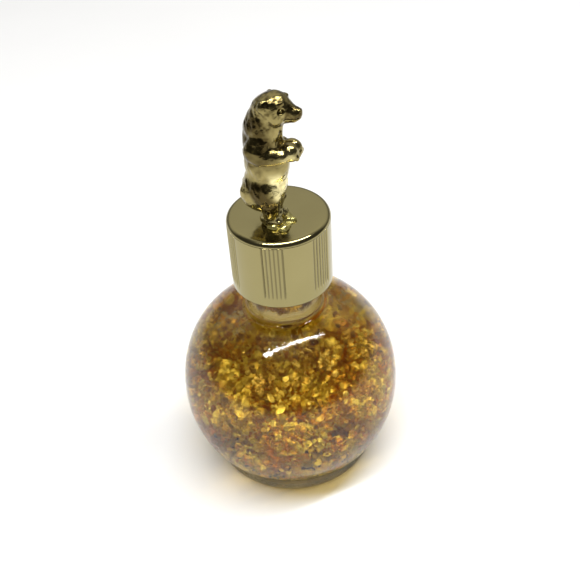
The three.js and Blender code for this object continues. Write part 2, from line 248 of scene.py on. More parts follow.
def globe_point(angle, inset=0.0):
    """Radius and height on the globe at an angle above its centre, moved inwards."""
    size = GLOBE_RADIUS - inset
    if angle <= 0:
        return size * math.cos(angle), GLOBE_CENTRE_Z + size * math.sin(angle)
    power = 2 / SHOULDER_POWER
    return size * math.cos(angle) ** power, GLOBE_CENTRE_Z + size * math.sin(angle) ** power


def globe_arc(start, end, steps, inset=0.0):
    """Points on the globe from one angle to another."""
    return [globe_point(a, inset) for a in np.linspace(start, end, steps + 1)]


def curve_through(a, b, c, steps):
    """Points after a on the quadratic curve that leaves a towards b and ends at c."""
    a, b, c = (np.array(p) for p in (a, b, c))
    shares = np.linspace(0, 1, steps + 1)[1:]
    return [tuple((1 - t) ** 2 * a + 2 * t * (1 - t) * b + t * t * c) for t in shares]


def thread_ridge(root, crest, start_z, turns, widths):
    """A helical ridge with a rounded crest that fades out at both ends."""
    steps = int(turns * 96)
    fade = 0.12
    sink = 0.15 if crest > root else -0.15
    root_width, crest_width = widths
    points, faces = [], []
    across = np.linspace(-1, 1, 9)
    for i in range(steps + 1):
        turn = turns * i / steps
        grow = min(1.0, 0.05 + min(turn, turns - turn) / fade)
        a = 2 * math.pi * turn
        z = start_z + THREAD_PITCH * turn
        for s in across:
            height = (1 - s**2) ** 0.6 * grow
            width = root_width / 2 if abs(s) > 0.99 else (root_width + crest_width) / 4
            radius = root - sink + (crest - root + sink) * height
            points.append((radius * math.cos(a), radius * math.sin(a), z + s * width))
    n = len(across)
    for i in range(steps):
        for k in range(n):
            m = (k + 1) % n
            faces.append([n * i + k, n * i + m, n * (i + 1) + m, n * (i + 1) + k])
    faces.append(list(range(n))[::-1])
    faces.append(list(range(n * steps, n * steps + n)))
    if crest > root:
        faces = [f[::-1] for f in faces]
    return points, faces


def together(*parts):
    """Several (points, faces) as one."""
    points, faces = [], []
    for some_points, some_faces in parts:
        start = len(points)
        points += list(some_points)
        faces += [[start + i for i in f] for f in some_faces]
    return points, faces


# --- Materials ------------------------------------------------------------------------------------
class Nodes:
    """A short way to write a material's node tree."""

    def __init__(self, name):
        self.material = bpy.data.materials.new(name)
        self.material.use_nodes = True
        self.tree = self.material.node_tree
        self.shader = self.tree.nodes["Principled BSDF"]
        self.output = self.tree.nodes["Material Output"]
        self.place = self.add("ShaderNodeTexCoord").outputs["Object"]

    def add(self, kind, **settings):
        """A new node with its settings."""
        node = self.tree.nodes.new(kind)
        for key, value in settings.items():
            setattr(node, key, value)
        return node

    def link(self, source, target):
        self.tree.links.new(source, target)

    def set(self, **values):
        """Values for the shader's own sockets."""
        for key, value in values.items():
            self.shader.inputs[key.replace("_", " ")].default_value = value

    def noise(self, scale, detail=4.0, stretch=None, roughness=0.55):
        """A noise pattern with a size in waves per millimetre, and its Fac output."""
        place = self.place
        if stretch:
            mapping = self.add("ShaderNodeMapping")
            mapping.inputs["Scale"].default_value = stretch
            self.link(place, mapping.inputs["Vector"])
            place = mapping.outputs["Vector"]
        node = self.add("ShaderNodeTexNoise")
        node.inputs["Scale"].default_value = scale / MM
        node.inputs["Detail"].default_value = detail
        node.inputs["Roughness"].default_value = roughness
        self.link(place, node.inputs["Vector"])
        return node.outputs["Fac"]

    def spread(self, value, low, high, to_low, to_high):
        """value carried from one range to another."""
        node = self.add("ShaderNodeMapRange")
        node.inputs["From Min"].default_value = low
        node.inputs["From Max"].default_value = high
        node.inputs["To Min"].default_value = to_low
        node.inputs["To Max"].default_value = to_high
        self.link(value, node.inputs["Value"])
        return node.outputs["Result"]

    def blend(self, factor, first, second):
        """A colour between two, by a factor."""
        node = self.add("ShaderNodeMix", data_type="RGBA")
        self.link(factor, node.inputs["Factor"])
        for socket, colour in (("A", first), ("B", second)):
            target = [i for i in node.inputs if i.name == socket and i.type == "RGBA"][0]
            if isinstance(colour, tuple):
                target.default_value = (*colour, 1)
            else:
                self.link(colour, target)
        return [o for o in node.outputs if o.type == "RGBA"][0]

    def bump(self, height, depth, strength=1.0):
        """Relief of a depth in millimetres."""
        node = self.add("ShaderNodeBump")
        node.inputs["Distance"].default_value = depth * MM
        node.inputs["Strength"].default_value = strength
        self.link(height, node.inputs["Height"])
        self.link(node.outputs["Normal"], self.shader.inputs["Normal"])

    def absorb(self, colour, density):
        """Light fades towards a colour on its way through, by a density per metre."""
        volume = self.add("ShaderNodeVolumeAbsorption")
        volume.inputs["Color"].default_value = (*colour, 1)
        volume.inputs["Density"].default_value = density
        self.link(volume.outputs[0], self.output.inputs["Volume"])

    def let_lamps_through(self, colour):
        """Lamps shine through this material, tinted, onto what is behind it."""
        clear = self.add("ShaderNodeBsdfTransparent")
        clear.inputs["Color"].default_value = (*colour, 1)
        path = self.add("ShaderNodeLightPath")
        mix = self.add("ShaderNodeMixShader")
        self.link(path.outputs["Is Shadow Ray"], mix.inputs[0])
        self.link(self.shader.outputs[0], mix.inputs[1])
        self.link(clear.outputs[0], mix.inputs[2])
        self.link(mix.outputs[0], self.output.inputs["Surface"])


def glass_material():
    """Slightly wavy clear glass."""
    n = Nodes("blown_glass")
    n.set(Roughness=0.015, IOR=GLASS_IOR, Transmission_Weight=1.0)
    tint = n.blend(n.noise(0.12, 2), (0.84, 0.80, 0.70), (0.88, 0.84, 0.74))
    n.link(tint, n.shader.inputs["Base Color"])
    n.bump(n.noise(0.16, 6, stretch=(1, 1, 0.6)), 0.35, 0.35)
    n.absorb((0.74, 0.69, 0.50), GLASS_DENSITY)
    n.let_lamps_through((0.95, 0.94, 0.90))
    return n.material


def liquid_material():
    """Water, faintly yellow."""
    n = Nodes("clear_liquid")
    n.set(Roughness=0.0, IOR=LIQUID_IOR, Transmission_Weight=1.0)
    tint = n.blend(n.noise(0.1, 1), (0.84, 0.79, 0.58), (0.90, 0.85, 0.64))
    n.link(tint, n.shader.inputs["Base Color"])
    n.absorb((0.78, 0.71, 0.4), LIQUID_DENSITY)
    n.let_lamps_through((0.99, 0.97, 0.92))
    return n.material


def leaf_material():
    """Thin gold leaf, amber and yellow in clumps, with painted light that brightens it low down."""
    n = Nodes("gold_leaf")
    n.set(Metallic=0.75)
    clumps = n.spread(n.noise(0.22, 3), 0.42, 0.56, 0.0, 1.0)
    height = n.add("ShaderNodeSeparateXYZ")
    n.link(n.place, height.inputs[0])
    # painted light: the leaf's colour brightens towards the bottom of the globe
    painted_light_low = n.spread(height.outputs["Z"], LEAF_LIGHT_FULL_Z * MM, LEAF_LIGHT_GONE_Z * MM, 1.0, 0.0)
    amber = n.blend(painted_light_low, (0.36, 0.22, 0.04), (0.86, 0.46, 0.025))
    yellow = n.blend(painted_light_low, (0.80, 0.66, 0.20), (1.0, 0.96, 0.26))
    tone = n.blend(clumps, amber, yellow)
    n.link(tone, n.shader.inputs["Base Color"])
    n.link(n.spread(n.noise(2.0, 3), 0.3, 0.7, 0.5, 0.75), n.shader.inputs["Roughness"])
    n.bump(n.noise(1.2, 4), 0.12, 0.5)
    n.let_lamps_through((0.88, 0.76, 0.35))
    return n.material


def cap_material():
    """Pale gold metallising, glossy, with painted shade in the grip grooves where the cap's own
    layer says.
    """
    n = Nodes("metallised_plastic")
    n.set(Metallic=1.0)
    clean = n.blend(n.noise(0.12, 4), (0.285, 0.244, 0.106), (0.345, 0.30, 0.14))
    groove_shade = n.add("ShaderNodeAttribute", attribute_name="tarnish_and_painted_shade").outputs["Fac"]
    # painted shade: the grooves are darkened towards a near-black gold by the cap's layer
    n.link(n.blend(groove_shade, clean, (0.12, 0.10, 0.05)), n.shader.inputs["Base Color"])
    handling = n.noise(0.5, 6, stretch=(1, 1, 0.5))
    n.link(n.spread(handling, 0.35, 0.75, 0.10, 0.22), n.shader.inputs["Roughness"])
    n.bump(n.noise(0.35, 4), 0.08, 0.4)
    return n.material


def casting_material():
    """Gold-plated casting, darker with tarnish and painted shade, lighter with a painted highlight.
    """
    n = Nodes("cast_gold_plate")
    n.set(Metallic=1.0)
    tarnish_and_painted_shade = n.add("ShaderNodeAttribute", attribute_name="tarnish_and_painted_shade").outputs["Fac"]
    painted_highlight = n.add("ShaderNodeAttribute", attribute_name="painted_highlight").outputs["Fac"]
    plate = n.blend(n.noise(0.5, 6), (0.23, 0.185, 0.066), (0.42, 0.345, 0.14))
    # painted highlight: the belly, paws and feet lightened towards pale gold
    bright = n.blend(painted_highlight, plate, (1.0, 0.88, 0.45))
    # tarnish and painted shade darken the plating towards a near-black gold
    n.link(n.blend(tarnish_and_painted_shade, bright, (0.08, 0.058, 0.02)), n.shader.inputs["Base Color"])
    n.link(n.spread(n.noise(1.2, 4), 0.3, 0.7, 0.08, 0.22), n.shader.inputs["Roughness"])
    n.bump(n.noise(1.3, 5), 0.16, 0.8)
    return n.material


def moulded_material(name, pale, deep, roughness):
    """White moulded plastic with a faint mottle and a matt grain."""
    n = Nodes(name)
    n.link(n.blend(n.noise(0.5, 4), deep, pale), n.shader.inputs["Base Color"])
    rough = n.spread(n.noise(2.5, 3), 0.3, 0.7, roughness - 0.08, roughness + 0.08)
    n.link(rough, n.shader.inputs["Roughness"])
    n.set(Subsurface_Weight=0.1, Subsurface_Scale=0.4 * MM)
    n.bump(n.noise(5.0, 3), 0.02, 0.5)
    return n.material


def glue_material():
    """Dried glue, gilded by the plating."""
    n = Nodes("dried_glue")
    n.set(Metallic=0.8)
    tone = n.blend(n.noise(0.8, 4), (0.36, 0.31, 0.07), (0.78, 0.68, 0.26))
    n.link(tone, n.shader.inputs["Base Color"])
    n.link(n.spread(n.noise(2.0, 3), 0.3, 0.7, 0.1, 0.3), n.shader.inputs["Roughness"])
    n.bump(n.noise(1.5, 3), 0.1, 0.6)
    return n.material


# --- Camera, floor and light ----------------------------------------------------------------------
def camera():
    """The photograph's view."""
    data = bpy.data.cameras.new("camera")
    data.lens = VIEW_LENS
    data.sensor_width = VIEW_SENSOR
    data.clip_start = 0.005
    eye = bpy.data.objects.new("camera", data)
    bpy.context.scene.collection.objects.link(eye)
    forward = Vector((0, math.cos(VIEW_ELEVATION), -math.sin(VIEW_ELEVATION)))
    place = Vector(VIEW_AIM) - forward * VIEW_DISTANCE
    turn = forward.to_track_quat("-Z", "Y").to_matrix().to_4x4()
    eye.matrix_world = Matrix.Translation(place * MM) @ turn @ Matrix.Rotation(VIEW_ROLL, 4, "Z")
    bpy.context.scene.camera = eye


def floor():
    """A plain pale floor."""
    n = Nodes("pale_floor")
    pale = n.blend(n.noise(0.02, 3), (0.86, 0.86, 0.86), (0.9, 0.9, 0.9))
    n.link(pale, n.shader.inputs["Base Color"])
    n.set(Roughness=0.7)
    signs = ((-1, -1), (1, -1), (1, 1), (-1, 1))
    square = [(x * FLOOR_REACH, y * FLOOR_REACH, 0) for x, y in signs]
    piece = make_piece("floor", (square, [[0, 1, 2, 3]]), n.material)


def ceiling_tube():
    """A long soft lamp overhead, which leaves a streak on the front of the globe."""
    data = bpy.data.lights.new("ceiling_tube", "AREA")
    data.shape = "RECTANGLE"
    data.size = TUBE_SIZE[0] * MM
    data.size_y = TUBE_SIZE[1] * MM
    data.energy = TUBE_POWER
    light = bpy.data.objects.new("ceiling_tube", data)
    bpy.context.scene.collection.objects.link(light)
    way = Vector(TUBE_AIM) - Vector(TUBE_PLACE)
    face = way.to_track_quat("-Z", "Y").to_matrix().to_4x4() @ Matrix.Rotation(TUBE_TURN, 4, "Z")
    light.matrix_world = Matrix.Translation(Vector(TUBE_PLACE) * MM) @ face


def surroundings():
    """A room seen in the gloss: a bright wall behind the vial, and dim space over its front."""
    world = bpy.data.worlds.new("studio")
    bpy.context.scene.world = world
    world.use_nodes = True
    tree = world.node_tree
    place = tree.nodes.new("ShaderNodeTexCoord")
    split = tree.nodes.new("ShaderNodeSeparateXYZ")
    tree.links.new(place.outputs["Generated"], split.inputs[0])
    side = tree.nodes.new("ShaderNodeMapRange")
    side.interpolation_type = "SMOOTHSTEP"
    side.inputs["From Min"].default_value = WALL_MEETING[0]
    side.inputs["From Max"].default_value = WALL_MEETING[1]
    tree.links.new(split.outputs["Y"], side.inputs["Value"])
    mix = tree.nodes.new("ShaderNodeMix")
    mix.data_type = "RGBA"
    tree.links.new(side.outputs["Result"], mix.inputs["Factor"])
    colours = [i for i in mix.inputs if i.type == "RGBA"]
    for target, stops in zip(colours, (FRONT_WALL, BACK_WALL)):
        ramp = tree.nodes.new("ShaderNodeValToRGB")
        tree.links.new(split.outputs["Z"], ramp.inputs["Fac"])
        elements = ramp.color_ramp.elements
        while len(elements) < len(stops):
            elements.new(0.5)
        for element, (at, value) in zip(elements, stops):
            element.position = at
            element.color = (*(value * share for share in WARM_WHITE), 1)
        tree.links.new(ramp.outputs["Color"], target)
    result = [o for o in mix.outputs if o.type == "RGBA"][0]
    tree.links.new(result, tree.nodes["Background"].inputs["Color"])
    tree.nodes["Background"].inputs["Strength"].default_value = 1.0


# --- Glass and liquid -----------------------------------------------------------------------------
def glass_bottle():
    """Foot, globe and neck turned in one, outside and inside, and the thread on the neck."""
    join = globe_point(NECK_JOIN_ANGLE)
    fillet_top = (NECK_RADIUS, join[1] + NECK_FILLET)
    foot_angle = -math.acos((FOOT_RADIUS + 0.1) / GLOBE_RADIUS)
    waist = globe_point(foot_angle)
    outside = [(0, PUNT_DEPTH)]
    outside += curve_through(outside[0], (PUNT_RADIUS * 0.8, PUNT_DEPTH), (PUNT_RADIUS, 0), 8)
    outside += arc(FOOT_RADIUS - FOOT_EDGE_RADIUS, FOOT_EDGE_RADIUS, FOOT_EDGE_RADIUS, -90, 0, 8)
    groove = (GROOVE_RADIUS, GROOVE_Z)
    outside += curve_through(outside[-1], (FOOT_RADIUS, GROOVE_Z - 0.5), groove, 5)
    outside += curve_through(outside[-1], (GROOVE_RADIUS + 0.02, waist[1] - 0.15), waist, 4)
    outside += globe_arc(foot_angle, NECK_JOIN_ANGLE, 72)[1:]
    outside += curve_through(join, (NECK_RADIUS, join[1] + 0.1), fillet_top, 8)
    outside += arc(NECK_RADIUS - LIP_ROUND, LIP_Z - LIP_ROUND, LIP_ROUND, 0, 90, 5)
    outside += arc(BORE_RADIUS + LIP_ROUND, LIP_Z - LIP_ROUND, LIP_ROUND, 90, 180, 5)
    thread = thread_ridge(
        NECK_RADIUS, NECK_THREAD_CREST, NECK_THREAD_START_Z, NECK_THREAD_TURNS, NECK_THREAD_WIDTHS
    )
    return together(turned(outside + cavity(0)), thread)


def cavity(extra):
    """The glass's inner face from the neck to the middle of its floor, moved into the glass."""
    wall = GLASS_WALL - extra
    floor_z = BASE_THICKNESS - extra
    top = globe_point(NECK_JOIN_ANGLE - 0.03, wall)
    low_angle = -math.asin((GLOBE_CENTRE_Z - floor_z - HEEL_RISE) / (GLOBE_RADIUS - wall))
    low = globe_point(low_angle, wall)
    neck = (BORE_RADIUS + extra, top[1] + NECK_BLEND)
    inside = [neck]
    inside += curve_through(neck, (BORE_RADIUS + extra, top[1] + 0.2), top, 6)
    inside += globe_arc(NECK_JOIN_ANGLE - 0.03, low_angle, 64, wall)[1:]
    inside += curve_through(low, (low[0] - HEEL_RISE, floor_z), (low[0] - HEEL_RUN, floor_z), 6)
    return inside + [(0, floor_z)]


def liquid_body():
    """The liquid, up to a hollow surface in the neck."""
    wall = cavity(WETTED)[::-1]
    surface = liquid_high[2]
    edge = (BORE_RADIUS + WETTED, surface)
    middle = (0, surface - MENISCUS_DEPTH)
    meniscus = curve_through(edge, (BORE_RADIUS - 0.4, surface - 0.35), (1.5, middle[1]), 5)
    return turned([*wall, edge, *meniscus, middle], 160)


# --- Gold leaf ------------------------------------------------------------------------------------
def crumpled_leaf(random):
    """A crumpled scrap, about 1 mm in radius: two wrinkled skins joined round a ragged edge."""
    angles = np.arange(LEAF_SPOKES) * 2 * math.pi / LEAF_SPOKES
    edge = 0.62 + 0.38 * random.random(LEAF_SPOKES)
    rows = [np.zeros((1, 2))]
    for share in (0.5, 1.0):
        reach = edge * share * (1 + 0.2 * random.standard_normal(LEAF_SPOKES) * (share < 1))
        rows.append(np.c_[reach * np.cos(angles), reach * np.sin(angles)])
    flat = np.vstack(rows)
    fold = random.standard_normal(2)
    fold /= np.linalg.norm(fold)
    height = 0.5 * np.abs(flat @ fold) * random.choice([-1, 1]) * random.random()
    height += 0.11 * random.standard_normal(len(flat))
    top = np.c_[flat, height + LEAF_SKIN / 2]
    under = np.c_[flat, height - LEAF_SKIN / 2]
    n = LEAF_SPOKES
    count = len(flat)
    faces = []
    for i in range(n):
        k = (i + 1) % n
        inner, outer = 1 + i, 1 + n + i
        inner_next, outer_next = 1 + k, 1 + n + k
        skin = [[0, inner, inner_next], [inner, outer, outer_next], [inner, outer_next, inner_next]]
        faces += skin
        faces += [[count + a for a in face[::-1]] for face in skin]
        faces.append([outer, count + outer, count + outer_next])
        faces.append([outer, count + outer_next, outer_next])
    return np.vstack([top, under]), np.array(faces)


def random_turn(random):
    """A turn matrix with no favoured direction."""
    q = random.standard_normal(4)
    w, x, y, z = q / np.linalg.norm(q)
    return np.array([
        [1 - 2 * (y * y + z * z), 2 * (x * y - z * w), 2 * (x * z + y * w)],
        [2 * (x * y + z * w), 1 - 2 * (x * x + z * z), 2 * (y * z - x * w)],
        [2 * (x * z - y * w), 2 * (y * z + x * w), 1 - 2 * (x * x + y * y)],
    ])


def value_noise(points, size, seed):
    """Smooth noise from 0 to 1 at points, with features of about that size."""
    cells = 32
    table = np.random.default_rng(seed).random((cells, cells, cells))
    scaled = np.asarray(points) / size
    cell = np.floor(scaled).astype(int)
    part = scaled - cell
    part = part * part * (3 - 2 * part)
    total = 0
    for corner in np.ndindex(2, 2, 2):
        shares = [part[..., a] if corner[a] else 1 - part[..., a] for a in range(3)]
        weight = np.prod(shares, axis=0)
        i, j, k = ((cell[..., a] + corner[a]) % cells for a in range(3))
        total = total + weight * table[i, j, k]
    return total


def inner_reach(z, clearance):
    """The cavity's radius at a height, less a clearance."""
    size = GLOBE_RADIUS - GLASS_WALL - clearance
    rise = (z - GLOBE_CENTRE_Z) / size
    power = np.where(rise > 0, SHOULDER_POWER, 2.0)
    return size * np.clip(1 - np.abs(rise) ** power, 0, 1) ** (1 / power)


def leaf_places(count, random):
    """Places in the cavity, thick low down and in clouds, thin near the neck."""
    batch = 4000
    found = []
    while len(found) < count:
        z = LEAF_LOW_Z + (LEAF_HIGH_Z - LEAF_LOW_Z) * random.random(batch)
        radius = (GLOBE_RADIUS - GLASS_WALL) * random.random(batch) ** 0.5
        turn = 2 * math.pi * random.random(batch)
        spots = np.c_[radius * np.cos(turn), radius * np.sin(turn), z]
        inside = radius < inner_reach(z, LEAF_CLEARANCE)
        cloud = 0.65 * value_noise(spots + 40, CLOUD_SIZE, 5)
        cloud += 0.35 * value_noise(spots + 40, WISP_SIZE, 6)
        thin_out = np.clip((LEAF_CLOUD_TOP_Z - z) / LEAF_FADE, 0.015, 1)
        settled = np.exp((LEAF_LOW_Z - z) / SETTLED_DEPTH)
        strays = np.where(z < GLOBE_CENTRE_Z, 0.12, 0.02)
        clouded = thin_out * np.clip((cloud - CLOUD_EDGE) * CLOUD_SHARPNESS, strays, 1)
        wanted = np.maximum(clouded, settled)
        found += list(spots[inside & (random.random(batch) < wanted)])
    return np.array(found[:count])


def many_leaves(places, sizes, shapes, random):
    """Crumpled scraps at places, as one mesh's points and faces."""
    points, faces, start = [], [], 0
    for place, size in zip(places, sizes):
        shape_points, shape_faces = shapes[random.integers(len(shapes))]
        moved = size * shape_points @ random_turn(random).T + place
        points.append(moved)
        faces.append(shape_faces + start)
        start += len(moved)
    return np.vstack(points), np.vstack(faces).tolist()


def leaf_clump(node, random, shapes):
    """A clump of scraps that fills the room of one CAD flake."""
    coordinates = np.array([v.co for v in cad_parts[node].data.vertices]) / MM
    middle = coordinates.mean(axis=0)
    _, _, axes = np.linalg.svd(coordinates - middle)
    axes[2] *= np.sign(np.linalg.det(axes))
    spread = (coordinates - middle) @ axes.T
    reach = np.abs(spread[:, :2]).max()
    turn = 2 * math.pi * random.random(CLUMP_LEAVES)
    radius = 0.75 * reach * random.random(CLUMP_LEAVES) ** 0.5
    height = 0.3 * random.standard_normal(CLUMP_LEAVES)
    places = np.c_[radius * np.cos(turn), radius * np.sin(turn), height] @ axes + middle
    sizes = 0.35 + 0.3 * random.random(CLUMP_LEAVES)
    return many_leaves(places, sizes, shapes, random)


def gold_leaf(material):
    """A clump for every CAD flake, and loose scraps in four layers from the floor up."""
    random = np.random.default_rng(SEED)
    shapes = [crumpled_leaf(random) for _ in range(LEAF_KINDS)]
    flakes = sorted(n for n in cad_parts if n.startswith("gold_leaf"))
    for node in flakes:
        clump = leaf_clump(node, random, shapes)
        name = node.replace("gold_leaf", "leaf_clump")
        make_piece(name, clump, material, "contents", [node])
    places = leaf_places(LEAF_COUNT, random)
    sizes = LEAF_SMALLEST + LEAF_SIZE_SPREAD * random.random(len(places)) ** 3
    from_low = np.argsort(places[:, 2])
    for i, layer in enumerate(np.array_split(from_low, 4)):
        scraps = many_leaves(places[layer], sizes[layer], shapes, random)
        make_piece(f"leaf_scraps_{i + 1}", scraps, material, "contents")


# --- Cap, liner and stopper -----------------------------------------------------------------------
def smooth_step(value):
    """0 to 1 with a soft start and end."""
    value = min(max(value, 0.0), 1.0)
    return value * value * (3 - 2 * value)


def skirt_radius(radius, z, angle):
    """The skirt's outer radius, sunk in the grip panels and raised again on their ribs."""
    if radius < CAP_RADIUS - 1e-3:
        return radius
    step = 2 * math.pi / PANEL_COUNT
    off = (angle - PANEL_FIRST + step / 2) % step - step / 2
    inside_z = smooth_step((z - PANEL_BOTTOM_Z) / PANEL_BOTTOM_RAMP)
    inside_z *= smooth_step((PANEL_TOP_Z - z) / PANEL_TOP_RAMP)
    inside_turn = smooth_step((PANEL_ANGLE / 2 - abs(off)) / PANEL_SIDE_RAMP)
    rib_span = RIB_COUNT * RIB_ANGLE / 2
    rib = 0.0
    if abs(off) < rib_span:
        rib = 0.5 + 0.5 * math.cos(2 * math.pi * ((off + rib_span) / RIB_ANGLE - 0.5))
        rib *= smooth_step((z - PANEL_BOTTOM_Z - RIB_START) / RIB_RAMP)
    return radius - inside_z * inside_turn * (PANEL_DEPTH - RIB_HEIGHT * rib)


def lean_to_peg(x, y, z):
    """A point of the cap's top plate, moved so that the rings close in on the figure's peg."""
    hole = PEG_RADIUS + PEG_GAP
    still = CAP_INNER_RADIUS - 1.3
    share = 1 - (math.hypot(x, y) - hole) / (still - hole)
    share = min(max(share, 0.0), 1.0)
    return x + share * FIGURE_PLACE[0], y + share * FIGURE_PLACE[1], z


def cap_shell():
    """The ribbed skirt, the top plate with the peg's hole, and the thread inside."""
    edge_z = CAP_BOTTOM_Z + CAP_EDGE_ROUND
    side = [edge_z]
    side += list(np.linspace(PANEL_BOTTOM_Z - 0.05, PANEL_BOTTOM_Z + 0.8, 9))
    side += list(np.linspace(PANEL_BOTTOM_Z + 1.0, PANEL_TOP_Z - 0.6, 12))
    side += list(np.linspace(PANEL_TOP_Z - 0.25, PANEL_TOP_Z + 0.05, 6))
    hole = PEG_RADIUS + PEG_GAP
    profile = [(CAP_INNER_RADIUS - 0.4, CAP_INNER_TOP_Z)]
    profile += [(CAP_INNER_RADIUS, CAP_INNER_TOP_Z - 0.4)]
    profile += [(CAP_INNER_RADIUS, edge_z)]
    profile += arc(CAP_INNER_RADIUS + CAP_EDGE_ROUND, edge_z, CAP_EDGE_ROUND, 180, 270, 4)[1:]
    profile += arc(CAP_RADIUS - CAP_EDGE_ROUND, edge_z, CAP_EDGE_ROUND, 270, 360, 5)[:-1]
    profile += [(CAP_RADIUS, z) for z in side]
    profile += arc(CAP_RADIUS - CAP_RIM_ROUND, CAP_TOP_Z - CAP_RIM_ROUND, CAP_RIM_ROUND, 0, 90, 12)
    profile += [(radius, CAP_TOP_Z) for radius in (5.5, 4.0, 2.4, hole + 0.1)]
    profile += [(hole, CAP_TOP_Z - 0.1), (hole, CAP_INNER_TOP_Z)]
    profile += [profile[0]]
    points, faces = turned(profile, CAP_SIDES, skirt_radius)
    last = len(points) - CAP_SIDES  # the last ring lies on the first, so the first takes its place
    faces = [[i - last if i >= last else i for i in face] for face in faces]
    shell = [lean_to_peg(*p) for p in points[:last]], faces
    thread_z = NECK_THREAD_START_Z - THREAD_PITCH / 2
    thread = thread_ridge(
        CAP_INNER_RADIUS, CAP_THREAD_CREST, thread_z, CAP_THREAD_TURNS, CAP_THREAD_WIDTHS
    )
    return together(shell, thread)


def groove_painted_shade(places):
    """Painted shade in the grooves between the grip ribs, deeper where the groove is deeper."""
    x, y, z = places.T
    depth = CAP_RADIUS - np.hypot(x, y)
    on_panel = (depth < 0.35) * (z > PANEL_BOTTOM_Z) * (z < PANEL_TOP_Z)
    return on_panel * np.clip(depth / PANEL_DEPTH * 2 - 1, 0, 1) * GROOVE_SHADE


def liner_disc():
    """A foam disc, pressed in where the bottle's lip bears on it."""
    radius = liner_high[0]
    low, high = liner_low[2], liner_high[2]
    edge = 0.12
    profile = [(0, low)]
    for r in np.linspace(1, radius - 0.2, 24):
        profile.append((r, low + 0.05 * math.exp(-((r - 4.9) / 0.5) ** 2)))
    profile += arc(radius - edge, low + edge, edge, -80, 0, 3)
    profile += arc(radius - edge, high - edge, edge, 0, 90, 3)
    return turned(profile + [(0, high)], 120)


def stopper():
    """A plug with two sealing rings, under a round flange."""
    low, high = stopper_low[2], stopper_high[2]
    flange_low = high - FLANGE_THICKNESS
    flange_edge = stopper_high[0] - FLANGE_ROUND
    plug = PLUG_RADIUS
    profile = [(0, low + 0.5), (plug - 1.5, low + 0.5), (plug - 1.2, low + 0.1), (plug - 0.9, low)]
    profile += curve_through((plug - 0.7, low), (plug - 0.1, low + 0.25), (plug, low + 0.9), 4)
    for ring_z in PLUG_RINGS:
        for a in np.radians(np.linspace(-90, 90, 9)):
            profile.append((plug + 0.25 * math.cos(a), low + ring_z + 0.35 * math.sin(a)))
    profile += [(plug, flange_low - 0.15), (plug + 0.15, flange_low)]
    profile += arc(flange_edge, flange_low + FLANGE_ROUND, FLANGE_ROUND, -90, 0, 4)
    profile += arc(flange_edge, high - FLANGE_ROUND, FLANGE_ROUND, 0, 90, 4)
    profile += [(3.0, high), (2.8, high - 0.25), (0, high - 0.3)]
    return turned(profile, 120)


# --- Bear -----------------------------------------------------------------------------------------
# The bear is a distance field on a fine grid, in its own frame: feet on z = 0, nose towards +X.
# space holds the grid's x, y and z, and a form is the distance from each of its points.


def ball(space, middle, radii, lean=0.0):
    """Distance to an ellipsoid, leant about Y by degrees."""
    x, y, z = (space[i] - middle[i] for i in range(3))
    a = math.radians(lean)
    along = x * math.cos(a) - z * math.sin(a)
    up = x * math.sin(a) + z * math.cos(a)
    rx, ry, rz = radii
    scaled = np.sqrt((along / rx) ** 2 + (y / ry) ** 2 + (up / rz) ** 2)
    slope = np.sqrt((along / rx**2) ** 2 + (y / ry**2) ** 2 + (up / rz**2) ** 2)
    return scaled * (scaled - 1) / np.maximum(slope, 1e-6)


def limb(space, start, start_radius, end, end_radius):
    """Distance to a round limb that tapers from one ball to the next."""
    start, end = np.array(start, float), np.array(end, float)
    way = end - start
    share = sum((space[i] - start[i]) * way[i] for i in range(3)) / (way @ way)
    share = np.clip(share, 0, 1)
    gap = np.sqrt(sum((space[i] - start[i] - share * way[i]) ** 2 for i in range(3)))
    return gap - (start_radius + (end_radius - start_radius) * share)


def melt(a, b, softness):
    """The union of two forms, rounded where they meet."""
    h = np.clip(0.5 + 0.5 * (b - a) / softness, 0, 1)
    return b + (a - b) * h - softness * h * (1 - h)


def carve(a, b, softness):
    """a with b cut out of it."""
    return -melt(-a, b, softness)


def bear_torso(space):
    """Hips, belly, back and shoulders, and the stub of a tail."""
    torso = ball(space, (-1.6, 0, 5.5), (3.1, 2.35, 2.8))
    torso = melt(torso, ball(space, (-1.05, 0, 9.2), (3.15, 2.5, 4.0)), 0.9)
    torso = melt(torso, ball(space, (-1.35, 0, 12.4), (2.75, 2.2, 3.6)), 0.9)
    torso = melt(torso, ball(space, (-0.8, 0, 15.3), (2.4, 1.85, 2.6), 12), 0.9)
    return melt(torso, ball(space, (-4.1, 0, 5.8), (0.45, 0.42, 0.6)), 0.35)


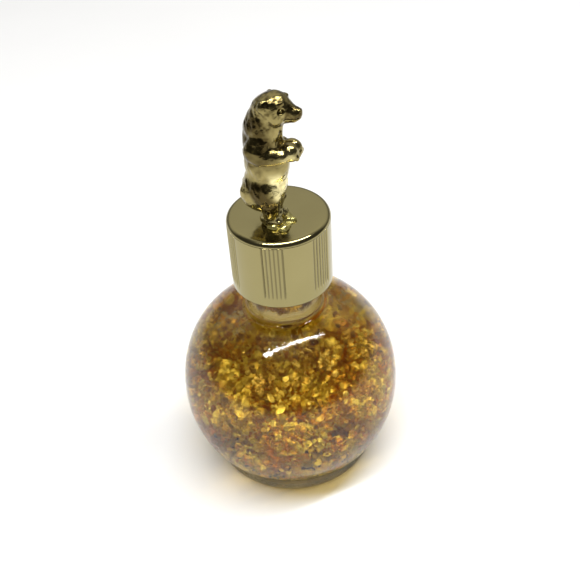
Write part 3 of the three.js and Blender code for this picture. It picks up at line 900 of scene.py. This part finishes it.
def bear_head(space):
    """Neck and head, with muzzle, nose, brows, eyes, ears and the line of the mouth."""
    x, _, z = space
    head = ball(space, (0.55, 0, 17.75), (2.3, 2.1, 2.05))
    head = melt(head, limb(space, (-0.6, 0, 17.3), 1.85, (-1.3, 0, 14.8), 2.35), 0.6)
    head = melt(head, limb(space, (1.9, 0, 17.35), 1.38, (3.3, 0, 17.05), 1.0), 0.5)
    head = melt(head, limb(space, (1.6, 0, 16.4), 1.0, (2.95, 0, 16.35), 0.66), 0.35)
    head = melt(head, ball(space, (3.95, 0, 17.5), (0.36, 0.48, 0.32)), 0.15)
    for side in (-1, 1):
        head = melt(head, ball(space, (0.9, side * 1.15, 16.7), (1.3, 0.9, 1.1)), 0.4)
        head = melt(head, ball(space, (1.45, side * 1.1, 18.75), (0.8, 0.5, 0.36), -14), 0.2)
        head = carve(head, ball(space, (1.95, side * 1.5, 18.0), (0.5, 0.45, 0.4)), 0.12)
        head = melt(head, ball(space, (1.85, side * 1.3, 18.0), (0.26, 0.25, 0.23)), 0.05)
        head = carve(head, ball(space, (4.28, side * 0.22, 17.5), (0.16, 0.1, 0.12)), 0.06)
        ear = ball(space, (-0.55, side * 1.5, 18.3), (0.55, 0.72, 0.85), 10)
        ear = carve(ear, ball(space, (-0.1, side * 1.6, 18.35), (0.35, 0.42, 0.52), 10), 0.12)
        head = melt(head, ear, 0.15)
    mouth = np.maximum(np.abs(z - 16.62 - 0.05 * (x - 2)) - 0.05, 2.0 - x)
    return carve(head, mouth, 0.1)


def bear_arm(space, side):
    """A sleeve that flares out from the sloping shoulder, and ends in a mitten of a paw."""
    x, _, z = space
    arm = limb(space, (-1.0, side * 0.45, 15.6), 1.15, (-1.6, side * 1.55, 11.9), 1.9)
    arm = melt(arm, limb(space, (-1.1, side * 2.0, 11.2), 1.45, (1.6, side * 1.2, 11.2), 1.05), 0.3)
    under = z - 10.2 - 0.09 * (x - 0.2) ** 2
    arm = carve(arm, under, 0.2)
    paw = ball(space, (2.45, side * 0.62, 11.5), (1.38, 1.15, 1.3))
    for toe in (-0.42, 0.0, 0.42):
        at = (3.62, side * (0.65 + toe), 11.1 + 0.1 * abs(toe))
        paw = melt(paw, ball(space, at, (0.3, 0.2, 0.45), 15), 0.12)
    return melt(arm, paw, 0.25)


def bear_leg(space, side):
    """A heavy haunch over a short leg, and a foot with toes."""
    leg = ball(space, (-2.3, side * 1.25, 4.6), (2.4, 1.35, 2.6), -8)
    leg = melt(leg, ball(space, (-0.9, side * 1.55, 5.2), (2.1, 1.35, 2.3), 8), 0.4)
    leg = melt(leg, limb(space, (-0.55, side * 1.1, 3.2), 1.3, (-0.7, side * 1.05, 0.9), 0.95), 0.4)
    leg = melt(leg, ball(space, (-0.55, side * 1.15, 0.55), (1.35, 0.9, 0.8)), 0.3)
    leg = melt(leg, ball(space, (-1.5, side * 1.0, 0.6), (0.8, 0.7, 0.8)), 0.25)
    for toe in (-0.45, 0.0, 0.45):
        at = (0.65 - 0.25 * abs(toe), side * 1.15 + toe, 0.42)
        leg = melt(leg, ball(space, at, (0.42, 0.26, 0.4)), 0.12)
    return leg


def bear_field(space):
    """The whole bear."""
    field = melt(bear_torso(space), bear_head(space), 0.6)
    for side in (-1, 1):
        field = melt(field, bear_leg(space, side), 0.4)
        field = melt(field, bear_arm(space, side), 0.15)
    return field


def bear_patches(places):
    """How far the places lie on the combed haunches, on the sleeves, and on the neck's mane."""
    x, y, z = places.T
    outside = np.clip((np.abs(y) - 1.0) / 0.5, 0, 1)
    slant = x + 0.9 + 0.65 * (z - 4.6)
    haunch = np.exp(-((slant / 1.6) ** 6) - ((z - 4.6) / 2.6) ** 6) * outside
    # the sleeves' reach, where the plating takes painted shade
    lean = x + 2.0 + 0.35 * (z - 12.5)
    sleeve = np.exp(-((lean / 3.0) ** 6) - ((z - 13.3) / 3.7) ** 6)
    sleeve *= np.clip((np.abs(y) - 0.3) / 0.5, 0, 1)
    mane = np.exp(-(((x + 1.6) / 1.6) ** 2) - ((z - 16.2) / 1.5) ** 2)
    return haunch, sleeve, mane


def bear_fur(places):
    """Relief of the cast fur: soft lumps all over, and locks on the haunches, mane and chest."""
    x, y, z = places.T
    combed = np.c_[x * 1.6 + 0.5 * z, y * 1.6, 0.45 * z]
    locks = 1 - np.abs(2 * value_noise(combed + 50, 1.0, 3) - 1)
    lumps = value_noise(places + 50, 1.1, 4) - 0.5
    haunch, _, mane = bear_patches(places)
    chest = np.exp(-(((x - 1.4) / 0.9) ** 2) - ((z - 14.0) / 1.8) ** 2)
    face = np.clip((x - 1.0) / 1.0, 0, 1) * (z > 16)
    depth = 0.03 + 0.30 * haunch + 0.22 * mane + 0.12 * chest
    pitting = value_noise(places + 60, 0.45, 14) - 0.5
    return (0.2 * lumps + depth * (0.35 - locks)) * (1 - 0.7 * face) + 0.07 * pitting


def bear_tarnish_and_shade(places):
    """Painted shade on sleeves and muzzle, darker haunches, mane and brows, and blotchy tarnish."""
    haunch, sleeve, mane = bear_patches(places)
    blotch = value_noise(places + 70, 0.7, 8)
    fine = value_noise(places + 20, 0.33, 12)
    x, _, z = places.T
    muzzle = np.clip((x - 2.2) / 0.6, 0, 1) * (np.abs(z - 17.6) < 0.9)
    brow = np.exp(-(((x - 1.0) / 1.3) ** 4) - ((z - 18.6) / 0.9) ** 4)
    worn = np.clip(value_noise(places + 30, 1.3, 9) * 1.8 - 0.9, 0, 0.5)
    # painted shade on the sleeves, as their gloss would show the dim room; haunches and mane darker
    # in patches
    patch = haunch * (0.95 + 0.4 * blotch) + sleeve * (0.6 + 0.4 * blotch) + 0.9 * mane * blotch
    head = 0.5 * np.clip((z - 14.5) / 2, 0, 1) * np.clip(fine * 3 - 1.4, 0, 1)
    # painted shade on the muzzle, as its gloss would show the dim room; brows and head darker in
    # blotches
    patch += 0.65 * muzzle + 0.8 * brow * blotch + head
    return np.clip(patch + worn * fine + 0.25 * fine - 0.1, 0, 1)


def bear_painted_highlight(places):
    """Painted highlight: the plating lightened low on the belly, and on the paws and feet."""
    x, y, z = places.T
    belly = np.exp(-(((x - 1.3 + 0.3 * (z - 6.4)) / 1.0) ** 4) - ((z - 6.4) / 2.0) ** 4)
    feet = np.exp(-((z - 0.8) / 0.9) ** 4)
    paws = np.exp(-(((x - 2.8) / 0.9) ** 4) - ((z - 11.2) / 1.2) ** 4)
    mottle = 0.5 + 0.9 * value_noise(places + 90, 0.6, 13)
    return np.clip((belly + 0.35 * feet + 0.3 * paws) * mottle, 0, 1)


def surface_net(field, low, step):
    """Points and four-sided faces of the field's zero surface."""
    inside = field < 0
    shape = np.array(field.shape) - 1
    total = np.zeros((*shape, 3))
    count = np.zeros(tuple(shape))
    base = np.stack(np.meshgrid(*[np.arange(n) for n in shape], indexing="ij"), -1).astype(float)

    def part(offset):
        """The grid points that lie at this corner of each cell."""
        return tuple(slice(o, o + n) for o, n in zip(offset, shape))

    for axis in range(3):
        others = [a for a in range(3) if a != axis]
        for pair in np.ndindex(2, 2):
            start = [0, 0, 0]
            start[others[0]], start[others[1]] = pair
            end = list(start)
            end[axis] = 1
            a, b = field[part(start)], field[part(end)]
            crossing = inside[part(start)] != inside[part(end)]
            share = np.where(crossing, a / np.where(crossing, a - b, 1), 0)
            place = np.zeros((*shape, 3)) + np.array(start, float)
            place[..., axis] = share
            total += (base + place) * crossing[..., None]
            count += crossing
    used = count > 0
    number = np.full(tuple(shape), -1)
    number[used] = np.arange(used.sum())
    points = total[used] / count[used][:, None] * step + low
    faces = []
    for axis in range(3):
        u, v = [a for a in range(3) if a != axis]
        core = [slice(1, n) for n in shape]
        core[axis] = slice(0, shape[axis])
        here = inside[tuple(slice(s.start, s.stop) for s in core)]
        ahead_cut = list(core)
        ahead_cut[axis] = slice(1, shape[axis] + 1)
        ahead = inside[tuple(ahead_cut)]
        spots = np.argwhere(here != ahead)
        leaving = here[tuple(spots.T)]
        for other in (u, v):
            spots[:, other] += 1
        ring = []
        for du, dv in ((1, 1), (0, 1), (0, 0), (1, 0)):
            cell = spots.copy()
            cell[:, u] -= du
            cell[:, v] -= dv
            ring.append(number[tuple(cell.T)])
        quads = np.stack(ring, 1)
        flip = leaving if axis != 1 else ~leaving
        quads[~flip] = quads[~flip][:, ::-1]
        faces.append(quads)
    return points, np.vstack(faces)


def glue_pool(random):
    """Dried lumps of glue round the figure's feet."""
    low = np.array([-GLUE_REACH, -GLUE_REACH, -3 * GLUE_STEP])
    across = int(2 * GLUE_REACH / GLUE_STEP)
    lines = [start + GLUE_STEP * np.arange(across) for start in low[:2]]
    lines.append(low[2] + GLUE_STEP * np.arange(int(GLUE_HEIGHT / GLUE_STEP)))
    space = np.stack(np.meshgrid(*lines, indexing="ij"))
    field = ball(space, (0, 0, 0), (2.3, 2.2, 0.3))
    for _ in range(GLUE_LUMPS):
        turn = 2 * math.pi * random.random()
        reach = 1.2 + 1.1 * random.random()
        size = random.random()
        middle = (reach * math.cos(turn), reach * math.sin(turn) - GLUE_RUN, 0.05)
        radii = (0.35 + 0.3 * size, 0.3 + 0.3 * size, 0.3 + 0.4 * size)
        field = melt(field, ball(space, middle, radii), 0.2)
    field = np.maximum(field, -space[2])
    points, faces = surface_net(field, low, GLUE_STEP)
    return points + np.array([*FIGURE_PLACE, glue_low[2]]), faces.tolist()


def bear_figure():
    """The bear and its peg in its own frame, from the field with the fur's relief on it."""
    sizes = np.ceil((GRID_HIGH - GRID_LOW) / GRID_STEP).astype(int)
    lines = [GRID_LOW[a] + GRID_STEP * np.arange(sizes[a]) for a in range(3)]
    space = np.stack(np.meshgrid(*lines, indexing="ij")).astype(np.float32)
    field = bear_field(space)
    near = np.abs(field) < 0.8
    field[near] += bear_fur(space[:, near].T)
    peg = limb(space, (0, 0, 1.0), PEG_RADIUS, (0, 0, -1.0), PEG_RADIUS - 0.05)
    field = np.maximum(field, -space[2])
    field = np.minimum(field, np.maximum(peg, -PEG_LENGTH - space[2]))
    points, faces = surface_net(field, GRID_LOW, GRID_STEP)
    return points, faces.tolist()


def on_the_cap(points):
    """Points in the bear's own frame, carried to where it stands."""
    turn = np.array([
        [math.cos(BEAR_YAW), -math.sin(BEAR_YAW), 0],
        [math.sin(BEAR_YAW), math.cos(BEAR_YAW), 0],
        [0, 0, 1],
    ])
    place = np.array([*FIGURE_PLACE, glue_high[2]])
    return points @ turn.T + place


# --- Making everything ----------------------------------------------------------------------------
def bottle_and_contents():
    """The glass, and the liquid with the leaf in it."""
    glass = glass_material()
    make_piece("globe_glass", glass_bottle(), glass, "bottle", ["glass_bottle"])
    liquid = liquid_material()
    make_piece("clear_liquid", liquid_body(), liquid, "contents", ["liquid_fill"])
    gold_leaf(leaf_material())


def closure():
    """The cap with its liner, and the plug under it."""
    shell = cap_shell()
    gold = cap_material()
    cap = make_piece("ribbed_cap", shell, gold, "cap", ["cap_shell"])
    # the cap's layer holds only painted shade in the grip grooves
    give_layer(cap, "tarnish_and_painted_shade", groove_painted_shade(np.array(shell[0])))
    foam = moulded_material("liner_foam", (0.88, 0.87, 0.82), (0.80, 0.79, 0.74), 0.8)
    make_piece("foam_liner", liner_disc(), foam, "cap", ["cap_liner"])
    plastic = moulded_material("stopper_plastic", (0.86, 0.85, 0.80), (0.78, 0.77, 0.72), 0.42)
    make_piece("plug_stopper", stopper(), plastic, "stopper", ["stopper_plug"])


def figure():
    """The bear, and the glue round its feet."""
    glue = glue_pool(np.random.default_rng(SEED))
    make_piece("glue_pool", glue, glue_material(), "cap", ["glue_pad"])
    points, faces = bear_figure()
    shape = on_the_cap(points), faces
    gold = casting_material()
    bear = make_piece("standing_bear", shape, gold, "cap", ["bear_figure"])
    # the casting's layers: tarnish with painted shade, and a painted highlight
    give_layer(bear, "tarnish_and_painted_shade", bear_tarnish_and_shade(points))
    give_layer(bear, "painted_highlight", bear_painted_highlight(points))


camera()
floor()
surroundings()
ceiling_tube()
bottle_and_contents()
closure()
figure()

bpy.context.scene.view_settings.view_transform = "Standard"
bpy.context.view_layer.update()
